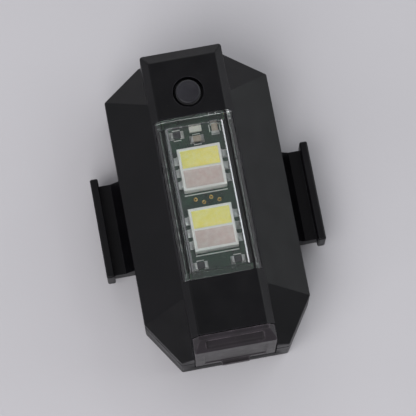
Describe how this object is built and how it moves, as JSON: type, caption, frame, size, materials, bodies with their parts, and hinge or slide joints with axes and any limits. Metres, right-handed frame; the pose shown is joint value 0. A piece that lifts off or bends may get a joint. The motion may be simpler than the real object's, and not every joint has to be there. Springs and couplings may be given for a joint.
{
  "type": "rechargeable strobe light",
  "caption": "Small faceted strobe light with a clear window over square two-tone LEDs, a push button, a covered charging port and side lugs for elastic bands.",
  "frame": {"origin": "centre of the flat back face", "axes": "+Z out of the front, through the window; +Y towards the button end; the charging port opens towards -Y"},
  "size_m": [0.029, 0.0401, 0.0142],
  "materials": {
    "housing_plastic": "fine satin texture",
    "clear_lens": "clear moulded plastic, gloss",
    "seal_rubber": "matt",
    "screw_steel": "blackened",
    "green_board": "solder mask over glass laminate",
    "white_package": "moulded",
    "yellow_phosphor": "silicone filled with phosphor",
    "clear_gel": "clear silicone over a pale floor",
    "led_die": "polished",
    "tinned_metal": "tin plated",
    "gold_contact": "gold plated",
    "cover_silicone": "soft, matt",
    "button_silicone": "soft, matt",
    "black_moulding": "moulded",
    "battery_foil": "laminated foil",
    "grey_foam": "closed-cell foam",
    "amber_tape": "film tape",
    "red_insulation": "extruded",
    "black_insulation": "extruded",
    "resistor_ceramic": "printed film",
    "capacitor_ceramic": "fired",
    "indicator_resin": "cast"
  },
  "bodies": {
    "housing": {"front_housing": "housing_plastic", "rear_housing": "housing_plastic", "window_lens": "clear_lens", "housing_seal": "seal_rubber", "housing_screws": "screw_steel", "main_board": "green_board", "led_package_upper": "white_package", "led_package_lower": "white_package", "led_phosphor_upper": "yellow_phosphor", "led_phosphor_lower": "yellow_phosphor", "led_gel_upper": "clear_gel", "led_gel_lower": "clear_gel", "led_dies": "led_die", "led_terminals": "tinned_metal", "usb_shell": "tinned_metal", "usb_tongue": "black_moulding", "usb_contacts": "gold_contact", "port_cover_anchor": "cover_silicone", "switch_base": "black_moulding", "switch_cover": "tinned_metal", "button_boot_ring": "button_silicone", "battery_cell": "battery_foil", "battery_pad": "grey_foam", "protection_board": "green_board", "battery_tape": "amber_tape", "battery_lead_red": "red_insulation", "battery_lead_black": "black_insulation", "controller_chip": "black_moulding", "controller_pins": "tinned_metal", "charger_chip": "black_moulding", "chip_resistors": "resistor_ceramic", "chip_capacitors": "capacitor_ceramic", "chip_end_caps": "tinned_metal", "charge_indicator": "indicator_resin"},
    "button": {"button_cap": "button_silicone", "switch_plunger": "black_moulding"},
    "port_cover": {"port_cover_flap": "cover_silicone"}
  },
  "joints": [
    {"name": "button_press", "type": "slide", "parent": "housing", "child": "button", "axis": [0, 0, -1], "range_m": [0, 0.0003], "stiffness_N_per_m": 500},
    {"name": "port_cover_hinge", "type": "hinge", "parent": "housing", "child": "port_cover", "pos_m": [0, -0.0198, 0.01245], "axis": [-1, 0, 0], "range_deg": [0, 110], "stiffness_Nm_per_rad": 0.00005}
  ]
}
